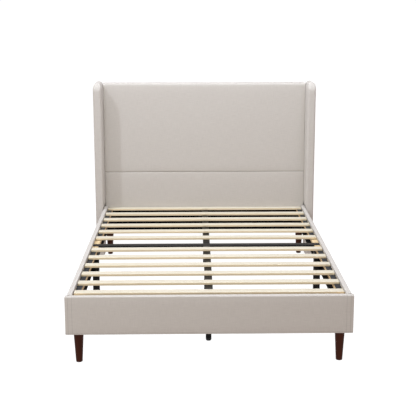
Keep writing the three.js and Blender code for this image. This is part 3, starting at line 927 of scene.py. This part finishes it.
# %% Webbing and ledgers
def strap(side, end):
    """A ribbon along Y whose edges curl down a little; the height is a small sine wave."""
    node = f"webbing_{side}_{end}"
    low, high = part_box(node)
    y = np.linspace(low.y, high.y, 140)
    x = np.linspace(low.x, high.x, 9)
    edge_curl = 0.25 * MM * np.abs(np.linspace(-1, 1, 9)) ** 3
    wave = 0.15 * MM * np.sin((y - low.y) / (high.y - low.y) * 40)
    top = high.z - 0.2 * MM + wave[:, None] - edge_curl[None, :]
    points = np.stack([*np.broadcast_arrays(x[None, :], y[:, None]), top], -1)
    made = grid_piece(node + "_strap", points, webbing)
    if made.data.polygons[0].normal.z < 0:
        made.data.flip_normals()
    wall = made.modifiers.new("thickness", "SOLIDIFY")
    wall.thickness = 1.1 * MM
    wall.offset = -1
    return settle(made, "webbing", node)


def ledger(side, end):
    """A planed strip along Y."""
    node = f"ledger_{side}_{end}"
    low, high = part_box(node)
    return settle(bar(node + "_planed", low, high, 1, 2 * MM, ledger_wood), "ledger_wood", node)


for side in ("left", "right"):
    for end in ("front", "rear"):
        strap(side, end)
        ledger(side, end)
print("4 straps on 4 ledgers")

# %% [markdown]
# ## Steel centre frame
#
# A crossbar joins the side rails at mid length and a centre beam runs in two halves between it, the
# foot rail and the headboard. All of it is rectangular tube with rolled corners. Each half ends in a
# welded plate with two screws, and square legs stand under the beam and under both ends of the bar.


# %% Tubes, plates and screws
TUBE_ROUND = 3 * MM
CROSSBAR_HALF_WIDTH = 25 * MM
BEAM_HALF_WIDTH = 20 * MM
BEAM_HEIGHT = 30 * MM
PLATE = 4 * MM  # the welded plate at the outer end of each beam half
SHEET_STEEL = 3 * MM  # the crossbar's shelf, and the plates on the legs
SCREW_FROM_MIDDLE = 32 * MM
SCREW_HEIGHT = 15 * MM


def turned(profile, sides, centre):
    """A profile of (radius, height) pairs turned about an upright axis through centre, closed by its
    own ends."""
    profile = np.asarray(profile, float)
    angle = np.linspace(0, 2 * math.pi, sides + 1)
    ring_xy = np.stack([np.cos(angle), np.sin(angle)], -1)
    points = np.empty((len(profile), sides + 1, 3))
    points[..., :2] = profile[:, None, :1] * ring_xy[None] + np.asarray(centre)[:2]
    points[..., 2] = profile[:, 1][:, None] + centre[2]
    return points


def screw_head(name, centre, direction, radius=6 * MM):
    """A pan head: a dome on a short cylinder, turned upright and then laid along its direction."""
    dome = [(0.0, 3.2), (2.2, 3.2), (3.4, 2.9), (4.9, 2.2),
            (5.8, 1.1), (6.0, 0.2), (6.0, 0.0), (0.0, 0.0)]
    points = turned(np.array(dome) * radius / 6.0, 16, (0, 0, 0))
    spin = Vector((0, 0, 1)).rotation_difference(Vector(direction)).to_matrix()
    points = points @ np.array(spin).T + np.array(centre)
    made = grid_piece(name, points, zinc_steel)
    shade_by_angle(made)
    return settle(made, "zinc_steel")


def crossbar():
    """The tube, and the shelf under it that takes the inner ends of the beam."""
    low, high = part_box("crossbar")
    middle = (low.y + high.y) / 2
    start = (low.x, middle - CROSSBAR_HALF_WIDTH, low.z)
    end = (high.x, middle + CROSSBAR_HALF_WIDTH, high.z)
    tube = bar("crossbar_tube", start, end, 0, TUBE_ROUND, black_steel)
    settle(tube, "black_steel", "crossbar")
    start = (-BEAM_HALF_WIDTH, low.y, low.z + 0.1 * MM)
    end = (BEAM_HALF_WIDTH, high.y, low.z + SHEET_STEEL)
    settle(bar("crossbar_shelf", start, end, 1, 1 * MM, black_steel), "black_steel")


def centre_beam(end, outer_is_low):
    """One half: the tube, its end plate, and two screws whose heads stand on the plate's inner face."""
    node = "centre_beam_" + end
    low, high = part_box(node)
    start = (-BEAM_HALF_WIDTH, low.y + (PLATE if outer_is_low else 0), high.z - BEAM_HEIGHT)
    end = (BEAM_HALF_WIDTH, high.y - (0 if outer_is_low else PLATE), high.z)
    settle(bar(node + "_tube", start, end, 1, TUBE_ROUND, black_steel), "black_steel", node)
    face = low.y if outer_is_low else high.y - PLATE
    start, end = (low.x, face, low.z), (high.x, face + PLATE, high.z)
    settle(bar(node + "_plate", start, end, 0, 0.8 * MM, black_steel), "black_steel")
    facing = 1 if outer_is_low else -1
    seat = face + PLATE if outer_is_low else face
    for word, sign in (("left", -1), ("right", 1)):
        at = (sign * SCREW_FROM_MIDDLE, seat, low.z + SCREW_HEIGHT)
        screw_head(f"{node}_screw_{word}", at, (0, facing, 0))


crossbar()
centre_beam("front", True)
centre_beam("rear", False)
print("crossbar, two halves of the beam, 4 screws")

# %% [markdown]
# ### Legs of the centre frame
#
# Each steel leg is a square tube with a plate on top and a black plug below. The plug holds a threaded
# glide that the owner turns to take up an uneven floor. The thread is a real helix: its radius depends
# on how far the height and the angle together have run through one pitch.


# %% Steel legs and their glides
STEM_RADIUS = 4.9 * MM
THREAD_PITCH = 1.5 * MM
PLUG_HEIGHT = 6 * MM


def threaded_stem(centre, low, high, radius, pitch, sides=24):
    """Radius falls by the thread depth along a triangle wave of (height / pitch - angle / full
    turn)."""
    angle = np.linspace(0, 2 * math.pi, sides + 1)
    height = np.linspace(low, high, max(8, round((high - low) / pitch * 6)))
    phase = (height[:, None] / pitch - angle[None, :] / (2 * math.pi)) % 1
    depth = 0.08 * radius * (1 - np.abs(2 * phase - 1)) * 2
    r = radius - depth
    x, y = centre[0] + r * np.cos(angle), centre[1] + r * np.sin(angle)
    points = np.stack([x, y, np.broadcast_to(height[:, None], r.shape)], -1)
    tip = points[:1].copy(), points[-1:].copy()
    for end in tip:
        end[..., :2] = np.asarray(centre)[:2]
    return np.concatenate([tip[0], points, tip[1]])


def glide(leg, body):
    """A domed foot with a hexagonal collar and a threaded stem, as three pieces that meet."""
    node = leg + "_glide"
    low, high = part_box(node)
    centre = ((low.x + high.x) / 2, (low.y + high.y) / 2, 0)
    base = (centre[0], centre[1], low.z)
    foot = [(0, 0.0), (10.5, 0.0), (12.3, 0.6), (13.0, 2.0), (13.0, 3.4),
            (12.2, 4.6), (9.5, 5.4), (5.0, 5.6), (0, 5.6)]
    collar = [(0, 5.0), (7.4, 5.0), (8.0, 5.5), (8.0, 7.4), (7.4, 7.9), (0, 7.9)]
    shapes = {
        "foot": turned(np.array(foot) * MM, 32, base),
        "collar": turned(np.array(collar) * MM, 6, base),
        "stem": threaded_stem(centre, low.z + 6 * MM, high.z, STEM_RADIUS, THREAD_PITCH),
    }
    parts = [grid_piece(f"{node}_{word}", points, black_plastic) for word, points in shapes.items()]
    for part in parts:
        shade_by_angle(part)
        settle(part, "black_plastic", body=body)
    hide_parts(node)


def steel_leg(node, size):
    """A tube with a plate on top and a plug below, and the glide that screws into the plug."""
    low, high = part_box(node)
    x, y = (low.x + high.x) / 2, (low.y + high.y) / 2
    start, end = (x - size / 2, y - size / 2), (x + size / 2, y + size / 2)
    plug_top, plate_low = low.z + PLUG_HEIGHT, high.z - SHEET_STEEL
    tube = bar(node + "_tube", (*start, plug_top), (*end, plate_low), 2, TUBE_ROUND, black_steel)
    settle(tube, "black_steel", node)
    plate = bar(node + "_plate", (low.x, low.y, plate_low), high, 1, 0.8 * MM, black_steel)
    settle(plate, "black_steel")
    low_corner, high_corner = (*start, low.z), (*end, plug_top)
    cap = bar(node + "_plug", low_corner, high_corner, 2, TUBE_ROUND, black_plastic, 1.5 * MM)
    settle(cap, "black_plastic")
    glide(node, node + "_glide")


for node, size in (
    ("centre_leg_front", 30 * MM),
    ("centre_leg_middle", 30 * MM),
    ("centre_leg_rear", 30 * MM),
    ("crossbar_leg_left", 38 * MM),
    ("crossbar_leg_right", 38 * MM),
):
    steel_leg(node, size)
print("5 steel legs with glides")

# %% [markdown]
# ## Turned wooden legs
#
# Four legs carry the corners. Each was turned on a lathe: a straight taper from 50 mm to 33 mm, with a
# small round at the shoulder and at the foot.


# %% Turned legs
def wooden_leg(node):
    """Radius runs straight from foot to shoulder, and quarter circles of 2.5 mm ease both ends."""
    low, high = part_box(node)
    centre = ((low.x + high.x) / 2, (low.y + high.y) / 2, 0)
    top_radius, foot_radius, ease = (high.x - low.x) / 2, 16.5 * MM, 2.5 * MM
    turn = np.linspace(0, math.pi / 2, 6)
    rising, falling = ease * np.sin(turn), ease * np.cos(turn)
    foot = np.stack([foot_radius - ease + rising, low.z + ease - falling], -1)
    shoulder = np.stack([top_radius - ease + falling, high.z - ease + rising], -1)
    taper = np.linspace(foot[-1], shoulder[0], 24)[1:-1]
    profile = np.concatenate([[(0, low.z)], foot, taper, shoulder, [(0, high.z)]])
    made = grid_piece(node + "_turned", turned(profile, 64, centre), leg_wood)
    shade_by_angle(made, 50)
    return settle(made, "walnut", node)


for place in ("front_left", "front_right", "rear_left", "rear_right"):
    wooden_leg("leg_" + place)
print("4 turned legs")

# %% [markdown]
# ## Lining, back cloth and staples
#
# Inside the rails and below the slats the bed is closed with black lining, darkened further as painted
# shade, and one large piece covers the back. Each is a thin sheet, a little slack between its staples:
# its depth is a shallow wave that vanishes at the edges.


# %% Lining sheets
def stretched_sheet(name, origin, across, up, out, slack, seed, material, cells, thick=0.3 * MM):
    """A rectangle from origin along across and up, pushed along out by a wave that is zero on its four
    edges."""
    origin, across, up, out = (np.asarray(v, float) for v in (origin, across, up, out))
    a = np.linspace(0, 1, cells[0])[None, :]
    b = np.linspace(0, 1, cells[1])[:, None]
    fade = np.minimum(1, 12 * np.minimum(a, 1 - a)) * np.minimum(1, 8 * np.minimum(b, 1 - b))
    wave = slack * fade * (1 + slow_ripple(a * 3, b * 3, seed, 1.0)) / 2
    points = origin + a[..., None] * across + b[..., None] * up + wave[..., None] * out
    made = grid_piece(name, points, material)
    if Vector(out).dot(made.data.polygons[0].normal) < 0:
        made.data.flip_normals()
    wall = made.modifiers.new("thickness", "SOLIDIFY")
    wall.thickness = thick
    wall.offset = -1
    return settle(made, "black_cloth")


def rail_linings():
    """On a side rail the sheet lies on the board, behind the ledger. On the foot rail it crosses the
    cloth's folds."""
    low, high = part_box("side_rail_right_board")
    roll_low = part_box("slat_01")[0].z
    bottom, length, height = low.z - 2.5 * MM, high.y - low.y - 4 * MM, roll_low - low.z + 1.5 * MM
    for side, sign in (("left", -1), ("right", 1)):
        start = (sign * (low.x - 0.12 * MM), low.y + 2 * MM, bottom)
        stretched_sheet(f"side_rail_{side}_lining", start, (0, length, 0), (0, 0, height),
                        (-sign, 0, 0), 0.05 * MM, 51 + sign, lining_with_painted_shade, (90, 10), 0.12 * MM)
    rail_low, rail_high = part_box("foot_rail_cover")
    width = 2 * low.x - 4 * MM
    start = (-width / 2, rail_high.y + 0.1 * MM, rail_low.z + 26 * MM)
    foot_height = rail_high.z - rail_low.z - 72 * MM
    stretched_sheet("foot_rail_lining", start, (width, 0, 0), (0, 0, foot_height),
                    (0, 1, 0), 0.1 * MM, 54, lining_with_painted_shade, (70, 10))


def headboard_lining():
    """Covers the lower panel between the rails, up to the slats."""
    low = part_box("headboard_lower_cover")[0]
    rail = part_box("side_rail_right_board")[0].x
    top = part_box("slat_12")[0].z - 4 * MM
    width = 2 * rail - 4 * MM
    start = (-width / 2, low.y - 0.15 * MM, low.z + 8 * MM)
    stretched_sheet("headboard_front_lining", start, (width, 0, 0), (0, 0, top - low.z - 8 * MM),
                    (0, -1, 0), 0.1 * MM, 55, lining_with_painted_shade, (70, 12))


def back_cloth():
    """One sheet over the whole back, in its CAD node's place."""
    low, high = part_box("headboard_back_cloth")
    width, height = high.x - low.x, high.z - low.z
    start = (low.x, low.y + 0.6 * MM, low.z)
    sheet = stretched_sheet("headboard_back_dust_cloth", start, (width, 0, 0), (0, 0, height),
                            (0, 1, 0), 0.8 * MM, 56, back_lining, (120, 90))
    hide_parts("headboard_back_cloth")


rail_linings()
headboard_lining()
back_cloth()
print("4 linings and a back cloth")

# %% [markdown]
# Staples hold the back cloth every 60 mm. There are about eighty, so each is only a bent wire of a few
# faces, and all of them are one mesh.


# %% Staples
def staples(name, places, directions, out, crown=11 * MM, wire=0.9 * MM):
    """Each staple is a strip of three boxes seen as one arch: its corner points are offset from its
    place along the row's direction and outwards, as whole arrays."""
    places, directions, out = (np.asarray(v, float) for v in (places, directions, out))
    side = np.cross(directions, out)
    arch = np.array([(-0.5, -1.6), (-0.5, 0.0), (-0.42, 0.9), (0.42, 0.9), (0.5, 0.0), (0.5, -1.6)])
    along = arch[:, 0] * crown
    lift = arch[:, 1] * wire
    spine = places[:, None, :] + along[None, :, None] * directions[:, None, :]
    spine = spine + lift[None, :, None] * out
    corners = np.array([(-0.5, 0.0), (0.5, 0.0), (0.5, -0.7), (-0.5, -0.7)]) * wire
    sideways, deep = corners[None, None, :, :1], corners[None, None, :, 1:]
    tube = spine[:, :, None, :] + sideways * side[:, None, None, :] + deep * out
    one = np.arange(24).reshape(6, 4)
    wrap = np.roll(one, -1, axis=1)
    faces = np.stack([one[:-1], wrap[:-1], wrap[1:], one[1:]], -1).reshape(-1, 4)
    faces = np.concatenate([faces, one[:1, ::-1], one[-1:]])
    everyone = (faces[None] + 24 * np.arange(len(places))[:, None, None]).reshape(-1, 4)
    made = mesh_piece(name, tube, everyone.tolist(), staple_steel, smooth=False)
    outwards(made.data, 1e-7)
    return settle(made, "zinc_steel")


def back_staples():
    """Two rows across and two up, 12 mm inside the edge of the back cloth."""
    low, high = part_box("headboard_back_cloth")
    inset, pitch = 12 * MM, 60 * MM
    x = np.arange(low.x + 40 * MM, high.x - 30 * MM, pitch)
    z = np.arange(low.z + 40 * MM, high.z - 30 * MM, pitch)
    y = high.y - 0.6 * MM
    rows = [np.column_stack([x, np.full_like(x, y), np.full_like(x, at)])
            for at in (low.z + inset, high.z - inset)]
    posts = [np.column_stack([np.full_like(z, at), np.full_like(z, y), z])
             for at in (low.x + inset, high.x - inset)]
    places = np.concatenate(rows + posts)
    directions = np.repeat([(1.0, 0, 0), (0, 0, 1.0)], [2 * len(x), 2 * len(z)], axis=0)
    print(len(places), "staples on the back")
    return staples("headboard_back_staples", places, directions, (0, 1, 0))


back_staples()

# %% [markdown]
# ## Foam, boards and hidden timber
#
# The foam blocks are inside the covers. They are bars too, with soft edges. Boards keep their CAD
# shape, because a sawn board is flat and square, and only get their wood.


# %% Foam and boards
def foam_block(node):
    """A bar a little smaller than its CAD node, so that the cover closes over it."""
    low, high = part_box(node)
    low = low + Vector((2 * MM, 4.5 * MM, 2 * MM))
    high = high - Vector((2 * MM, 0, 2 * MM))
    made = bar(node + "_block", low, high, 0, 9 * MM, foam, 4 * MM)
    return settle(made, "foam", node)


for node in ("headboard_upper_foam", "headboard_lower_foam"):
    foam_block(node)


def dress(node, material):
    """A CAD node that is already right keeps its shape and takes a better finish."""
    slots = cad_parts[node].data.materials
    slots.clear()
    slots.append(material)


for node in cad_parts:
    if node.endswith("_board") or node == "headboard_bottom_rail":
        dress(node, board_wood)
    elif node.startswith("corner_block"):
        dress(node, block_wood)
    elif node.startswith("rear_bracket"):
        dress(node, black_steel)
print("boards, blocks and brackets dressed")

# %% [markdown]
# ## Studio
#
# A white cove, as for a catalogue. A real one is lit so hard that it burns out to plain white; here the
# floor and the dome glow by themselves, and only the camera sees them, so that they don't light the bed
# from below as well. The bed has its own lights: a small lamp high on the left, which throws the wing's
# shadow on the panel, a large soft box overhead, which brightens everything that faces up, and a broad
# one in front, left of the camera. A faint glow from all round fills the shade.

# %% Floor and dome
DOME_RADIUS = 40.0
FLOOR_DROP = 0.6 * MM  # keeps the feet from sharing the floor's plane


def glowing(name, glow, colour):
    """Paint that gives off white light of its own, so that it looks evenly lit."""
    material, tree, shader = new_material(name, 0.9, Specular_IOR_Level=0.0)
    place = add_node(tree, "TexCoord").outputs["Object"]
    tone = noise(tree, place, 2.0, 2.0)
    paint(tree, shader, tone, linear(colour), toned(colour, 1.04))
    shader.inputs["Emission Color"].default_value = (1, 1, 1, 1)
    shader.inputs["Emission Strength"].default_value = glow
    return material


def for_the_camera(piece):
    """Hides a piece of the stage from every ray but the camera's."""
    piece.visible_diffuse = False
    piece.visible_glossy = False
    piece.visible_transmission = False
    piece.visible_shadow = False


def studio():
    """The floor is one rectangle. The dome is a quarter circle of 40 m turned about the upright
    axis."""
    signs = ((-1, -1), (1, -1), (1, 1), (-1, 1))
    corners = [(x * DOME_RADIUS, y * DOME_RADIUS, -FLOOR_DROP) for x, y in signs]
    floor_paint = glowing("painted_floor_white", 0.93, "#7a7a7a")
    for_the_camera(mesh_piece("studio_floor", corners, [(0, 1, 2, 3)], floor_paint))
    angle = np.linspace(0, math.pi / 2, 9)
    dome = turned(DOME_RADIUS * np.stack([np.cos(angle), np.sin(angle)], -1), 32, (0, 0, -0.01))
    dome_paint = glowing("painted_dome_white", 1.0, "#404040")
    for_the_camera(grid_piece("studio_dome", dome, dome_paint))


studio()
print("floor and dome seen by the camera alone")


# %% Lamps
def soft_box(name, at, aim, size, watts, colour):
    """An area light at a point, facing another."""
    light = bpy.data.lights.new(name, "AREA")
    light.shape = "RECTANGLE"
    light.size, light.size_y = size
    light.energy = watts
    light.color = linear(colour)[:3]
    lamp = bpy.data.objects.new(name, light)
    bpy.context.scene.collection.objects.link(lamp)
    lamp.location = at
    lamp.rotation_euler = (Vector(aim) - Vector(at)).to_track_quat("-Z", "Y").to_euler()


KEY_WATTS = 208
OVERHEAD_WATTS = 106
FRONT_WATTS = 43
WORLD_GLOW = 0.55
soft_box("key", (-4.5, -2.5, 6.4), (-0.2, 0.9, 0.8), (0.45, 0.45), KEY_WATTS, "#e7f1ff")
soft_box("overhead", (0, -0.4, 3.4), (0, -0.1, 0.3), (3.0, 2.6), OVERHEAD_WATTS, "#e6f2ff")
soft_box("front", (-1.2, -4.4, 1.5), (0, 0, 0.6), (1.6, 1.6), FRONT_WATTS, "#f2fdff")
world = bpy.data.worlds.new("studio")
world.use_nodes = True
background = world.node_tree.nodes["Background"]
background.inputs["Color"].default_value = linear("#fff2f0")
background.inputs["Strength"].default_value = WORLD_GLOW
bpy.context.scene.world = world
bpy.context.scene.view_settings.view_transform = "Standard"
print("3 lamps")
